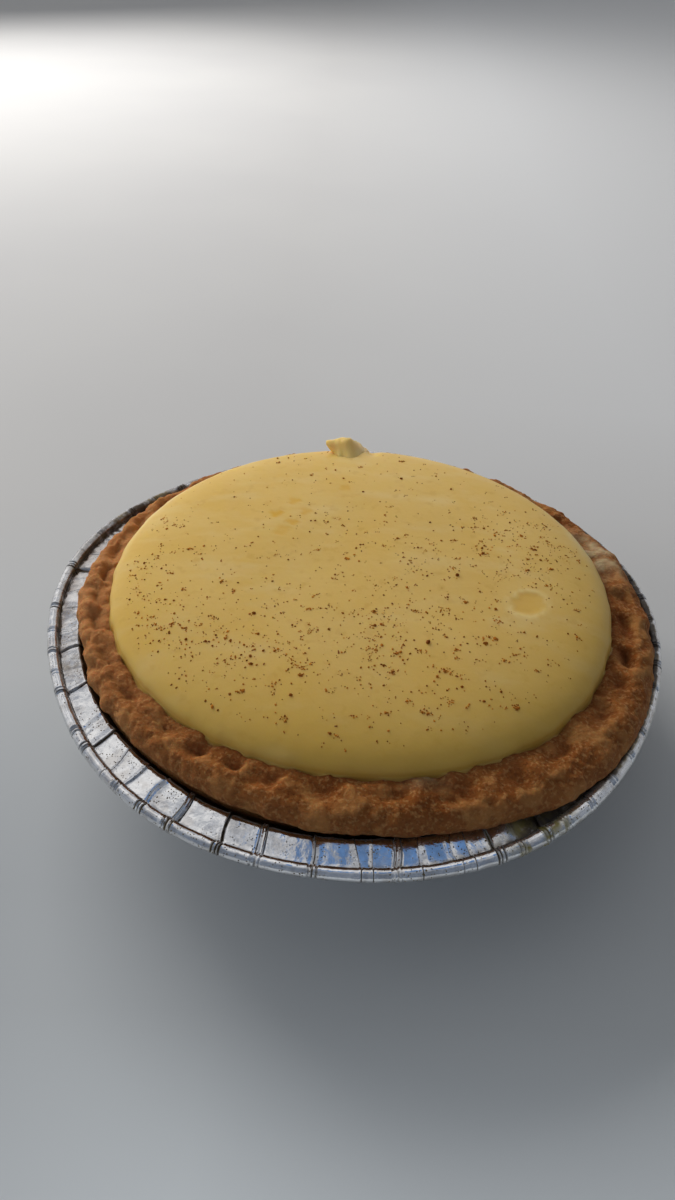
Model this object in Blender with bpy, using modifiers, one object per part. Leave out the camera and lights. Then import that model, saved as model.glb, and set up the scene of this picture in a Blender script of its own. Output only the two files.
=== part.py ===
"""Custard tart in its own foil tin.

A drawn foil tin with a wrinkled flange and a rolled rim holds a shortcrust case with a
crimped edge, and the case is filled with set custard, dusted with nutmeg.

Metres, +Z up. The origin is on the table, under the middle of the tin. -Y is the front of
the tart and +X its right-hand side.
"""
import math
import random

import bmesh
import bpy
from mathutils import Euler, Matrix, Vector, noise

MM = 0.001

# Foil tin
RIM_RADIUS = 59.4 * MM
FLANGE_HEIGHT = 22.0 * MM
FLANGE_INNER_RADIUS = 53.1 * MM
FLANGE_OUTER_RADIUS = 57.45 * MM
FLANGE_FALL = 0.8 * MM
BASE_RADIUS = 40.8 * MM
PANEL_RADIUS = 33.0 * MM
PANEL_HEIGHT = 1.0 * MM
FOIL_THICKNESS = 0.4 * MM
BEAD_RADIUS = 0.95 * MM
TIN_STEPS = 80

# The rim is pushed a little out of round: lobes round it, how far they stand out, and where
RIM_LOBES = [(2, 0.5 * MM, math.radians(83)),
             (3, 0.45 * MM, math.radians(44)),
             (4, 0.55 * MM, math.radians(-6)),
             (5, 0.6 * MM, math.radians(15))]

# From the tin's turning axis to the middle of its box, where the origin is
ORIGIN = Vector((-0.2, 0.25, 0.0)) * MM

# Pastry case
CRUST_OUTER_RADIUS = 54.2 * MM
CRUST_INNER_RADIUS = 47.4 * MM
CREST_HEIGHT = 27.9 * MM
CREST_TILT = 0.7 * MM
CREST_DROP = 1.1 * MM
CASE_FLOOR = 4.6 * MM
CASE_UNDERSIDE = 1.45 * MM
CASE_BASE_RADIUS = 41.0 * MM
CASE_THROAT_RADIUS = 51.3 * MM
CASE_THROAT_HEIGHT = 22.7 * MM
WALL_TOP = 22.0 * MM
CRUST_STEPS = 180
CRIMPS = 35
CRIMP_DEPTH = 1.2 * MM
CRIMP_SLANT = 2.5

# The case sits to the right and back in its tin, and its edge bulges out at the front: depth of
# each bulge, its angle and its width
CASE_SHIFT = Vector((1.6, 1.1)) * MM
CASE_BULGES = [(2.4 * MM, math.radians(-50), math.radians(30)),
               (0.7 * MM, math.radians(-98), math.radians(14))]
FILLING_SHIFT = Vector((0.7, 1.3)) * MM

# The filling is a little wider at the front right: share of its radius, angle and width
FILLING_BULGE = (0.021, math.radians(-47), math.radians(27))

# Custard
CUSTARD_RADIUS = 47.05 * MM
CUSTARD_EDGE_HEIGHT = 28.0 * MM
DOME_HEIGHT = 6.4 * MM
DOME_SQUARENESS = 2.5
CUSTARD_STEPS = 96
GAP = 0.35 * MM

# Burst bubbles in the custard: x and y from the custard's middle, and width, in millimetres
BUBBLES = [(30.2, -10.4, 6.6), (-13.9, 18.1, 2.7), (-17.2, 13.1, 2.6), (-11.5, 14.2, 2.4),
           (-13.8, 10.5, 3.0), (-15.5, 7.3, 2.6), (-3.9, 23.9, 2.4)]

# Curl of custard at the far edge: x, height above the custard's edge and half its thickness, in
# millimetres
CURL = [(1.2, 0.9, 0.5), (0.3, 1.6, 1.1), (-1.2, 2.5, 1.95), (-2.6, 3.5, 2.6), (-4.2, 4.4, 2.6),
        (-5.4, 4.6, 1.9), (-6.6, 4.7, 1.25), (-7.8, 4.9, 0.8), (-8.6, 5.2, 0.35)]
CURL_Y = 43.6 * MM

FLECK_COUNT = 70
FLECK_SIZES = (0.34 * MM, 0.62 * MM)
FLECK_SPACING = 2.2 * MM
FLECK_MARGIN = 1.5 * MM


def smooth_step(low, high, value):
    share = min(max((value - low) / (high - low), 0.0), 1.0)
    return share * share * (3.0 - 2.0 * share)


def round_noise(angle, cells, layer):
    """Smooth noise from -1 to 1 that closes after a full turn, about six cells times `cells`."""
    return noise.noise(Vector((cells * math.cos(angle), cells * math.sin(angle), layer)))


def clear_scene():
    for obj in list(bpy.data.objects):
        bpy.data.objects.remove(obj, do_unlink=True)


def plain_material(name, colour, roughness, metallic=0.0):
    material = bpy.data.materials.new(name)
    material.use_nodes = True
    shader = material.node_tree.nodes["Principled BSDF"]
    shader.inputs["Base Color"].default_value = (*colour, 1.0)
    shader.inputs["Roughness"].default_value = roughness
    shader.inputs["Metallic"].default_value = metallic
    return material


def turned(name, profile, steps, collection, ring_values=None):
    """Turn a profile of (radius, height) points, from its top down its outer side, about Z.

    `ring_values` maps a name to one number for each profile point, kept on every ring.
    """
    mesh = bpy.data.meshes.new(name)
    points = [(radius, 0.0, height) for radius, height in profile]
    mesh.from_pydata(points, [(i, i + 1) for i in range(len(points) - 1)], [])
    for value_name, numbers in (ring_values or {}).items():
        layer = mesh.attributes.new(value_name, 'FLOAT', 'POINT')
        for item, number in zip(layer.data, numbers):
            item.value = number
    obj = bpy.data.objects.new(name, mesh)
    collection.objects.link(obj)
    screw = obj.modifiers.new("Turn", 'SCREW')
    screw.steps = steps
    screw.render_steps = steps
    screw.use_merge_vertices = True
    screw.merge_threshold = 0.00001
    apply_modifiers(obj)
    return obj


def apply_modifiers(obj):
    bpy.context.view_layer.update()
    depsgraph = bpy.context.evaluated_depsgraph_get()
    mesh = bpy.data.meshes.new_from_object(obj.evaluated_get(depsgraph))
    obj.modifiers.clear()
    obj.data = mesh


def finish(obj, material, sharp_degrees):
    obj.data.materials.clear()
    obj.data.materials.append(material)
    obj.data.shade_smooth()
    obj.data.set_sharp_from_angle(angle=math.radians(sharp_degrees))


def polar(point):
    return math.atan2(point.y, point.x), math.hypot(point.x, point.y)


def rim_shift(angle):
    """How far the tin's rim stands out from a true circle at this angle."""
    return sum(depth * math.cos(count * (angle - start)) for count, depth, start in RIM_LOBES)


def filling_stretch(angle):
    """How many times wider than a circle the filling is at this angle."""
    share, middle, width = FILLING_BULGE
    return 1.0 + share * math.exp(-(math.remainder(angle - middle, 2 * math.pi) / width) ** 2)


def make_tin(collection):
    """Thin foil: flat base with a raised panel, sloping wall, flat flange and rolled bead."""
    profile = [
        (0.0, PANEL_HEIGHT),
        (PANEL_RADIUS, PANEL_HEIGHT),
        (PANEL_RADIUS + 1.5 * MM, FOIL_THICKNESS),
        (BASE_RADIUS, FOIL_THICKNESS),
        (BASE_RADIUS + 1.7 * MM, 1.9 * MM),
        (FLANGE_INNER_RADIUS - 1.4 * MM, FLANGE_HEIGHT - 1.1 * MM),
        (FLANGE_INNER_RADIUS, FLANGE_HEIGHT + FLANGE_FALL / 2),
        (FLANGE_OUTER_RADIUS, FLANGE_HEIGHT - FLANGE_FALL / 2),
    ]
    for degrees in (145, 90, 35, -20, -70):
        turn = math.radians(degrees)
        profile.append((RIM_RADIUS - BEAD_RADIUS + BEAD_RADIUS * math.cos(turn),
                        FLANGE_HEIGHT - 0.1 * MM + BEAD_RADIUS * math.sin(turn)))
    tin = turned("foil_tin", profile, TIN_STEPS, collection)
    for vertex in tin.data.vertices:
        angle, radius = polar(vertex.co)
        height = vertex.co.z
        wall = smooth_step(BASE_RADIUS, BASE_RADIUS + 3 * MM, radius)
        wall *= 1.0 - smooth_step(FLANGE_INNER_RADIUS - 1 * MM, FLANGE_INNER_RADIUS, radius)
        flange = smooth_step(FLANGE_INNER_RADIUS - 0.5 * MM, FLANGE_INNER_RADIUS + 2 * MM, radius)
        radius += wall * 0.25 * MM * round_noise(angle, 6.0, 3.0)
        spread = smooth_step(FLANGE_INNER_RADIUS - 3 * MM, FLANGE_OUTER_RADIUS, radius)
        radius += rim_shift(angle) * spread
        height += flange * 0.12 * MM * round_noise(angle, 6.0, 8.0)
        vertex.co = Vector((radius * math.cos(angle), radius * math.sin(angle), height)) - ORIGIN
    skin = tin.modifiers.new("Foil", 'SOLIDIFY')
    skin.thickness = FOIL_THICKNESS
    skin.offset = -1.0
    skin.use_even_offset = True
    apply_modifiers(tin)
    return tin


def crimp(angle, across):
    """Rope-like pinches round the pastry edge: 1 on a lump and 0 in the notch beside it.

    `across` runs from 0 at the outer side of the edge to 1 at the custard, so that the lumps
    lie aslant.
    """
    wander = 2.2 * round_noise(angle, 0.9, 1.0) + 1.3 * round_noise(angle, 2.5, 5.0)
    phase = CRIMPS * angle - CRIMP_SLANT * across + 2.0 * wander
    return abs(math.cos(phase / 2)) ** 0.7


def make_crust(collection):
    """Closed shortcrust cup whose thick crimped edge leans over the tin's flange."""
    edge = CRUST_OUTER_RADIUS
    inner = CRUST_INNER_RADIUS
    # Radius, height, share of the outer shift, share of the inner shift, crimp, across the edge
    rings = [
        (0.0, CASE_FLOOR, 0.0, 1.0, 0.0, 1.0),
        (inner - 8.9 * MM, CASE_FLOOR, 0.0, 1.0, 0.0, 1.0),
        (inner - 6.7 * MM, CASE_FLOOR + 1.6 * MM, 0.0, 1.0, 0.0, 1.0),
        (inner - 0.6 * MM, WALL_TOP, 0.0, 1.0, 0.0, 1.0),
        (inner, CREST_HEIGHT - 0.7 * MM, 0.0, 1.0, 0.0, 1.0),
        (inner + 1.6 * MM, CREST_HEIGHT - 0.4 * MM, 0.2, 0.8, 0.7, 0.8),
        (inner + 3.6 * MM, CREST_HEIGHT, 0.5, 0.5, 1.0, 0.5),
        (edge - 1.5 * MM, CREST_HEIGHT - 1.0 * MM, 0.9, 0.0, 0.9, 0.25),
        (edge - 0.3 * MM, CREST_HEIGHT - 1.9 * MM, 1.0, 0.0, 0.6, 0.1),
        (edge, CREST_HEIGHT - 3.5 * MM, 1.0, 0.0, 0.3, 0.05),
        (edge - 0.8 * MM, CASE_THROAT_HEIGHT + 0.5 * MM, 1.3, 0.0, 0.1, 0.0),
        (CASE_THROAT_RADIUS, CASE_THROAT_HEIGHT, 0.0, 0.0, 0.0, 0.0),
        (CASE_BASE_RADIUS + 1.1 * MM, 2.9 * MM, 0.0, 0.0, 0.0, 0.0),
        (CASE_BASE_RADIUS, CASE_UNDERSIDE, 0.0, 0.0, 0.0, 0.0),
        (0.0, CASE_UNDERSIDE, 0.0, 0.0, 0.0, 0.0),
    ]
    names = ("outer", "inner", "crimp", "across")
    values = {name: [ring[i + 2] for ring in rings] for i, name in enumerate(names)}
    crust = turned("pastry_crust", [ring[:2] for ring in rings], CRUST_STEPS, collection, values)
    share = {name: [item.value for item in crust.data.attributes[name].data] for name in names}
    edge_middle = Vector((inner + 3.0 * MM, 24.0 * MM))
    for vertex in crust.data.vertices:
        angle, radius = polar(vertex.co)
        i = vertex.index
        outward = Vector((radius, vertex.co.z)) - edge_middle
        outward.normalize()
        lump = noise.noise(vertex.co * 260.0)
        pinch = crimp(angle, share["across"][i]) - 0.6 + 0.35 * lump
        amount = share["crimp"][i] * CRIMP_DEPTH * pinch
        radius += outward.x * amount
        radius *= 1.0 + share["inner"][i] * (filling_stretch(angle) - 1.0)
        for depth, middle, width in CASE_BULGES:
            turn = math.remainder(angle - middle, 2 * math.pi)
            radius += share["outer"][i] * depth * math.exp(-(turn / width) ** 2)
        fall = CREST_TILT * math.sin(angle) + CREST_DROP * smooth_step(0.1, 0.7, math.sin(angle))
        height = vertex.co.z + outward.y * amount - share["crimp"][i] * fall
        shift = share["outer"][i] * CASE_SHIFT + share["inner"][i] * FILLING_SHIFT
        place = Vector((radius * math.cos(angle), radius * math.sin(angle))) + shift
        vertex.co = Vector((place.x, place.y, height)) - ORIGIN
    for name in names:
        crust.data.attributes.remove(crust.data.attributes[name])
    return crust


def dome_height(x, y):
    """Height of the custard's top above the table at a point measured from its middle."""
    width = CUSTARD_RADIUS * filling_stretch(math.atan2(y, x))
    share = min(math.hypot(x, y) / width, 1.0)
    rise = DOME_HEIGHT * (1.0 - share ** DOME_SQUARENESS) ** (1.0 / DOME_SQUARENESS)
    wave = 0.25 * MM * noise.noise(Vector((x, y, 0.0)) * 60.0) * (1.0 - share ** 4)
    return CUSTARD_EDGE_HEIGHT + rise + wave


def nutmeg_density(x, y):
    """Share of the dusting at a point: a band from the left through the middle to the far right."""
    across = (y + 8.0 * MM) * math.cos(math.radians(22)) - x * math.sin(math.radians(22))
    band = math.exp(-(across / (19.0 * MM)) ** 2)
    patch = 0.5 + 0.5 * noise.noise(Vector((x, y, 0.0)) * 90.0)
    return band * patch


def make_flecks(collection):
    """The largest nutmeg flecks, as small flattened lumps half sunk in the custard."""
    chance = random.Random(41)
    places = []
    while len(places) < FLECK_COUNT:
        x = chance.uniform(-CUSTARD_RADIUS, CUSTARD_RADIUS)
        y = chance.uniform(-CUSTARD_RADIUS, CUSTARD_RADIUS)
        if math.hypot(x, y) > 0.9 * CUSTARD_RADIUS or chance.random() > nutmeg_density(x, y):
            continue
        size = chance.uniform(*FLECK_SIZES)
        near_fleck = any(math.hypot(x - other_x, y - other_y) < FLECK_SPACING
                         for other_x, other_y, _ in places)
        near_bubble = any(math.hypot(x - bubble_x * MM, y - bubble_y * MM)
                          < width / 2 * MM + FLECK_MARGIN
                          for bubble_x, bubble_y, width in BUBBLES)
        if not near_fleck and not near_bubble:
            places.append((x, y, size))
    for number, (x, y, size) in enumerate(places):
        shape = bmesh.new()
        bmesh.ops.create_icosphere(shape, subdivisions=1, radius=1.0)
        length = size * chance.uniform(0.9, 1.5)
        width = size * chance.uniform(0.6, 0.9)
        stretch = Vector((length, width, 0.6 * size))
        for vertex in shape.verts:
            vertex.co *= chance.uniform(0.8, 1.1)
            vertex.co *= stretch
        mesh = bpy.data.meshes.new("fleck")
        shape.to_mesh(mesh)
        shape.free()
        fleck = bpy.data.objects.new("fleck_%02d" % number, mesh)
        fleck.location = (x, y, dome_height(x, y) + 0.1 * size)
        fleck.rotation_euler = Euler((0.0, 0.0, chance.uniform(0.0, math.pi)))
        collection.objects.link(fleck)


def make_curl(collection):
    """A lip of custard pulled up at the far edge, thick at its root and pointed at its tip."""
    curve = bpy.data.curves.new("curl", 'CURVE')
    curve.dimensions = '3D'
    curve.bevel_depth = 1.0 * MM
    curve.bevel_resolution = 2
    curve.use_fill_caps = True
    line = curve.splines.new('POLY')
    line.points.add(len(CURL) - 1)
    for point, (x, height, thickness) in zip(line.points, CURL):
        point.co = (x * MM, CURL_Y, CUSTARD_EDGE_HEIGHT + height * MM, 1.0)
        point.radius = thickness
    drawn = bpy.data.objects.new("curl_line", curve)
    collection.objects.link(drawn)
    bpy.context.view_layer.update()
    depsgraph = bpy.context.evaluated_depsgraph_get()
    mesh = bpy.data.meshes.new_from_object(drawn.evaluated_get(depsgraph))
    weld = bmesh.new()
    weld.from_mesh(mesh)
    bmesh.ops.remove_doubles(weld, verts=weld.verts, dist=0.00001)
    bmesh.ops.recalc_face_normals(weld, faces=weld.faces)
    weld.to_mesh(mesh)
    weld.free()
    bpy.data.objects.remove(drawn)
    collection.objects.link(bpy.data.objects.new("curl", mesh))


def make_bubbles(collection):
    """Shallow bowls that are cut out of the custard where bubbles burst."""
    for number, (x, y, width) in enumerate(BUBBLES):
        shape = bmesh.new()
        bmesh.ops.create_icosphere(shape, subdivisions=2, radius=1.0)
        for vertex in shape.verts:
            vertex.co *= Vector((width / 2 * MM, width / 2 * MM, width / 5 * MM))
        mesh = bpy.data.meshes.new("bubble")
        shape.to_mesh(mesh)
        shape.free()
        bubble = bpy.data.objects.new("bubble_%d" % number, mesh)
        bubble.location = (x * MM, y * MM, dome_height(x * MM, y * MM))
        collection.objects.link(bubble)


def combine(obj, tools, operation):
    """Cut or join every shape in a collection, then remove the shapes and the collection."""
    modifier = obj.modifiers.new("Shapes", 'BOOLEAN')
    modifier.operand_type = 'COLLECTION'
    modifier.collection = tools
    modifier.operation = operation
    modifier.solver = 'EXACT'
    apply_modifiers(obj)
    for tool in list(tools.objects):
        bpy.data.objects.remove(tool, do_unlink=True)
    bpy.data.collections.remove(tools)


def make_custard(collection):
    """Set custard: fills the case, stands plump above its edge and is dusted with nutmeg."""
    profile = []
    for share in (0.0, 0.3, 0.52, 0.7, 0.83, 0.92, 0.97, 0.993, 1.0):
        radius = share * CUSTARD_RADIUS
        rise = DOME_HEIGHT * (1.0 - share ** DOME_SQUARENESS) ** (1.0 / DOME_SQUARENESS)
        profile.append((radius, CUSTARD_EDGE_HEIGHT + rise))
    profile += [
        (CRUST_INNER_RADIUS - 0.6 * MM - GAP, WALL_TOP),
        (CRUST_INNER_RADIUS - 6.7 * MM - GAP, CASE_FLOOR + 1.8 * MM),
        (CRUST_INNER_RADIUS - 9.2 * MM, CASE_FLOOR + GAP),
        (0.0, CASE_FLOOR + GAP),
    ]
    custard = turned("custard_filling", profile, CUSTARD_STEPS, collection)
    for vertex in custard.data.vertices:
        stretch = filling_stretch(polar(vertex.co)[0])
        vertex.co *= Vector((stretch, stretch, 1.0))
        if vertex.co.z > CUSTARD_EDGE_HEIGHT + 0.1 * MM:
            vertex.co.z = dome_height(vertex.co.x, vertex.co.y)
    cuts = bpy.data.collections.new("cutters")
    bpy.context.scene.collection.children.link(cuts)
    make_bubbles(cuts)
    combine(custard, cuts, 'DIFFERENCE')
    toppings = bpy.data.collections.new("toppings")
    bpy.context.scene.collection.children.link(toppings)
    make_flecks(toppings)
    make_curl(toppings)
    combine(custard, toppings, 'UNION')
    custard.data.transform(Matrix.Translation(FILLING_SHIFT.to_3d() - ORIGIN))
    return custard


clear_scene()
tart = bpy.data.collections.new("custard_tart")
bpy.context.scene.collection.children.link(tart)
finish(make_tin(tart), plain_material("Foil", (0.72, 0.73, 0.75), 0.28, 1.0), 40)
finish(make_crust(tart), plain_material("Shortcrust", (0.42, 0.20, 0.08), 0.8), 60)
finish(make_custard(tart), plain_material("Custard", (0.74, 0.55, 0.22), 0.35), 50)
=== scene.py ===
# A custard tart in its own foil tin: wrinkled foil, a rough golden shortcrust edge pressed with
# the fingers, and plump set custard dusted with nutmeg. Sizes in the lists are in millimetres.
import math
import random

import bpy
from mathutils import Matrix, Vector, noise
from mathutils.bvhtree import BVHTree


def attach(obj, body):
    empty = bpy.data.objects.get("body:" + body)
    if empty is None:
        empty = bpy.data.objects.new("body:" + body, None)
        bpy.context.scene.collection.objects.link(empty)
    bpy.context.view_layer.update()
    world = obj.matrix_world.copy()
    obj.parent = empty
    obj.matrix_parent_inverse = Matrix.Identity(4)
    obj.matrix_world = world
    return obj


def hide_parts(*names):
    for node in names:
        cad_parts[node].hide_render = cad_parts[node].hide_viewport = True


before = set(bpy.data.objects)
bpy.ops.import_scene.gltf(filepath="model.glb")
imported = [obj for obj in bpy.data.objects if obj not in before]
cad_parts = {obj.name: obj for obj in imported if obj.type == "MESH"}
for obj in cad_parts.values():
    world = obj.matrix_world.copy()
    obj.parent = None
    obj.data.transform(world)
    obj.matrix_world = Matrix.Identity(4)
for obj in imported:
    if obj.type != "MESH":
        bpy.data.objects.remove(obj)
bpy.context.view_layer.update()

# The studio: a plain pale sheet for a floor, a big soft light behind the tart on the left, a weaker
# one on the left, and a pale glow from all round. The camera looks down at the tart from the front.
MM = 0.001
CAMERA_PLACE = Vector((-3.4, -131.55, 134.5)) * MM
CAMERA_DROP = math.radians(40.0)
CAMERA_ROLL = math.radians(2.7)
CAMERA_LENS = 26.4
FLOOR_WIDTH, FLOOR_DROP = 40.0, 0.05
WINDOW_PLACE, WINDOW_SIZE, WINDOW_POWER = Vector((-0.42, 0.66, 0.44)), (0.6, 0.45), 5.9
SIDE_PLACE, SIDE_SIZE, SIDE_POWER = Vector((-0.80, 0.02, 0.26)), (0.4, 0.4), 0.7
LIGHT_COLOUR = (1.0, 0.97, 0.93)

scene = bpy.context.scene
scene.view_settings.view_transform = 'Standard'
camera = bpy.data.objects.new("front_camera", bpy.data.cameras.new("front_camera"))
camera.data.lens = CAMERA_LENS
camera.data.sensor_width = 36.0
camera.data.clip_start = 0.005
camera.matrix_world = (Matrix.Translation(CAMERA_PLACE)
                       @ Matrix.Rotation(math.pi / 2 - CAMERA_DROP, 4, 'X')
                       @ Matrix.Rotation(CAMERA_ROLL, 4, 'Z'))
scene.collection.objects.link(camera)
scene.camera = camera


def add_soft_light(name, place, size, power):
    """A soft light that points at the tart and isn't mirrored in the foil."""
    light = bpy.data.objects.new(name, bpy.data.lights.new(name, 'AREA'))
    light.data.shape = 'RECTANGLE'
    light.data.size, light.data.size_y = size
    light.data.energy = power
    light.data.color = LIGHT_COLOUR
    aim = (-place).to_track_quat('-Z', 'Y').to_matrix().to_4x4()
    light.matrix_world = Matrix.Translation(place) @ aim
    light.visible_glossy = False
    scene.collection.objects.link(light)


add_soft_light("window_light", WINDOW_PLACE, WINDOW_SIZE, WINDOW_POWER)
add_soft_light("side_light", SIDE_PLACE, SIDE_SIZE, SIDE_POWER)


def add_node(tree, kind, inputs=None, **settings):
    """Put a node into a shader tree and give its inputs values or the outputs of other nodes."""
    node = tree.nodes.new("ShaderNode" + kind)
    for name, value in settings.items():
        setattr(node, name, value)
    for name, value in (inputs or {}).items():
        if isinstance(value, bpy.types.NodeSocket):
            tree.links.new(value, node.inputs[name])
        else:
            node.inputs[name].default_value = value
    return node


def stretch(tree, value, low, high, bottom=0.0, top=1.0):
    """Spread the values between low and high over bottom to top, and hold them there outside."""
    node = add_node(tree, "MapRange", {"Value": value, "From Min": low, "From Max": high,
                                       "To Min": bottom, "To Max": top})
    return node.outputs[0]


def new_group(name, numbers, output, output_kind):
    """An empty node group that is given a place and some numbers. Returns it and what it is given."""
    group = bpy.data.node_groups.new(name, 'ShaderNodeTree')
    group.interface.new_socket(name="Place", in_out='INPUT', socket_type='NodeSocketVector')
    for number in numbers:
        group.interface.new_socket(name=number, in_out='INPUT', socket_type='NodeSocketFloat')
    group.interface.new_socket(name=output, in_out='OUTPUT', socket_type=output_kind)
    return group, group.nodes.new("NodeGroupInput").outputs


# Uneven grain, which foil, pastry, custard and nutmeg all have: noise as a mask from 0 to the top
grain, given = new_group("uneven_grain", ("Cells per metre", "Detail", "Low", "High", "Top"),
                         "Mask", 'NodeSocketFloat')
cloud = add_node(grain, "TexNoise", {"Vector": given["Place"], "Scale": given["Cells per metre"],
                                     "Detail": given["Detail"]})
mask = stretch(grain, cloud.outputs[0], given["Low"], given["High"], 0.0, given["Top"])
grain.links.new(mask, grain.nodes.new("NodeGroupOutput").inputs["Mask"])


def mottle(tree, place, cells, detail, low, high, top=1.0):
    """The uneven grain in a material, with its own values."""
    node = add_node(tree, "Group", {"Place": place, "Cells per metre": cells, "Detail": detail,
                                    "Low": low, "High": high, "Top": top}, node_tree=grain)
    return node.outputs["Mask"]


def product(tree, first, second):
    node = add_node(tree, "Math", {0: first, 1: second}, operation='MULTIPLY')
    return node.outputs[0]


def tint(tree, share, under, over):
    """The colour under, covered by the colour over as far as the share says."""
    under = under if isinstance(under, bpy.types.NodeSocket) else (*under, 1.0)
    over = over if isinstance(over, bpy.types.NodeSocket) else (*over, 1.0)
    node = add_node(tree, "Mix", {0: share, 6: under, 7: over}, data_type='RGBA')
    return node.outputs[2]


def new_finish(name, **values):
    """A material with its shader's plain values set. Returns it, its tree, shader and position."""
    material = bpy.data.materials.new(name)
    material.use_nodes = True
    tree = material.node_tree
    shader = tree.nodes["Principled BSDF"]
    for key, value in values.items():
        shader.inputs[key.replace("_", " ")].default_value = value
    place = add_node(tree, "TexCoord").outputs["Object"]
    return material, tree, shader, place


# What the foil mirrors: an uneven pale studio, darker in front and on the right, with a patch of
# blue. What is not a mirror is lit by a plain gradient.
BLUE_TOWARD, BLUE_EDGE = Vector((0.13, 0.09, 0.987)), (0.975, 0.981)
PALE_STUDIO, GREY_STUDIO = (0.86, 0.85, 0.835), (0.40, 0.415, 0.45)
BLUE_PATCH, DARK_FRONT = (0.14, 0.28, 0.56), (0.05, 0.08, 0.13)
LIT_FRONT, LIT_BACK, UNLIT = (0.265, 0.29, 0.325), (0.50, 0.49, 0.475), (0.0, 0.0, 0.0)

sky = bpy.data.worlds.new("window_sky")
scene.world = sky
sky.use_nodes = True
sky_tree = sky.node_tree
toward = add_node(sky_tree, "TexCoord").outputs["Generated"]
part_toward = add_node(sky_tree, "SeparateXYZ", {0: toward})
to_right, to_back = part_toward.outputs["X"], part_toward.outputs["Y"]
patch = add_node(sky_tree, "VectorMath", {0: toward, 1: BLUE_TOWARD}, operation='DOT_PRODUCT')
patch = stretch(sky_tree, patch.outputs["Value"], *BLUE_EDGE)
around = tint(sky_tree, mottle(sky_tree, toward, 6.0, 2.0, 0.45, 0.60), PALE_STUDIO, GREY_STUDIO)
mirrored = tint(sky_tree, patch, around, BLUE_PATCH)
shade = product(sky_tree, stretch(sky_tree, to_back, -0.4, 0.4, 0.18, 1.0),
                stretch(sky_tree, to_right, 0.25, 0.8, 1.0, 0.65))
mirrored = tint(sky_tree, shade, DARK_FRONT, mirrored)
lit = tint(sky_tree, stretch(sky_tree, to_back, -0.6, 0.6), LIT_FRONT, LIT_BACK)
lit = tint(sky_tree, stretch(sky_tree, to_right, -0.8, 0.8, 1.0, 0.38), UNLIT, lit)
mirror_ray = add_node(sky_tree, "LightPath").outputs["Is Glossy Ray"]
backdrop = sky_tree.nodes["Background"]
sky_tree.links.new(tint(sky_tree, mirror_ray, lit, mirrored), backdrop.inputs["Color"])

# Painted light and shade on the sheet (lighter far right, bluer and lighter front, a painted shadow
# front left): where each comes in going to the back and going to the right, in metres, and its colour
SHEET_GREY, SHEET_WHITE = (0.60, 0.60, 0.605), (0.63, 0.63, 0.63)
SHEET_PAINTED_LIGHT = [((0.04, 0.13), (-0.03, 0.10), (0.69, 0.70, 0.715)),
               ((0.06, -0.08), None, (0.63, 0.67, 0.70)),
               ((-0.07, -0.105), None, (0.80, 0.86, 0.91)),
               ((0.0, -0.05), (-0.02, -0.08), (0.46, 0.49, 0.52))]

bpy.ops.object.select_all(action='DESELECT')
bpy.ops.mesh.primitive_plane_add(size=FLOOR_WIDTH, location=(0.0, 0.0, -FLOOR_DROP * MM))
floor = bpy.context.object
floor.name = "plain_floor"
bpy.ops.object.transform_apply()
sheet, tree, shader, place = new_finish("pale_sheet", Roughness=0.7)
white = tint(tree, mottle(tree, place, 6.0, 3.0, 0.35, 0.65), SHEET_GREY, SHEET_WHITE)
part_place = add_node(tree, "SeparateXYZ", {0: place})
# Painted light and shade, one tone after another
for going_back, going_right, colour in SHEET_PAINTED_LIGHT:
    share = stretch(tree, part_place.outputs["Y"], *going_back)
    if going_right:
        share = product(tree, share, stretch(tree, part_place.outputs["X"], *going_right))
    white = tint(tree, share, white, colour)
tree.links.new(white, shader.inputs["Base Color"])
floor.data.materials.append(sheet)

# The tin: soft aluminium foil, drawn into a dish with a raised panel in its base. The spare foil at
# the top lies in folds across the flange, and the edge is rolled outwards into a bead.
FOIL_AXIS = Vector((0.2, -0.25, 0.0)) * MM
RIM_RADIUS = 59.4
RIM_LOBES = [(2, 0.5, math.radians(83)), (3, 0.45, math.radians(44)),
             (4, 0.55, math.radians(-6)), (5, 0.6, math.radians(15))]
FLANGE_INNER, FLANGE_OUTER, FLANGE_HEIGHT, FLANGE_FALL = 53.1, 57.15, 22.0, 0.8
BASE_RADIUS = 40.8
BEAD_RADIUS = 1.04
FOIL_THICKNESS = 0.12
PLAIN_STEP = 0.5

# What changes round the rim: middle and width in degrees, with 0 at the right and -90 in front, and
# how much. First shapes, in millimetres, then stains and painted shade, as shares.
FULL_BEAD, TIGHT_BEAD = (-45, 28, 0.40), (-90, 14, 0.05)
WIDE_GAP, NARROW_GAP = (-92, 18, 0.2), (-132, 20, -0.65)
CRUMPLED_SIDE, DISHED_FRONT = (165, 50, 0.07), (-92, 45, 0.4)
FAT_SPILL, FAT_DROP, FAT_STREAK = (-42, 15, 1.4), (200, 2.5, 0.8), (-55, 28, 1.0)
CLEANER_GROOVE, WIPED_GROOVE, THINNER_LIP_SHADE = (-115, 45, 0.5), (-60, 18, 1.0), (-78, 28, 0.6)
BLACK_BEAD, BLACK_GROOVE = (143, 20, 0.62), (175, 55, 0.64)
SINGED_SIDE, CUSTARD_SPLASH = (160, 38, 1.0), (-60, 6, 1.0)
# The right side of the flange is black between these degrees, and fades out over the second pair
BLACK_FROM, BLACK_TO = (-67, -59), (32, 52)

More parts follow.
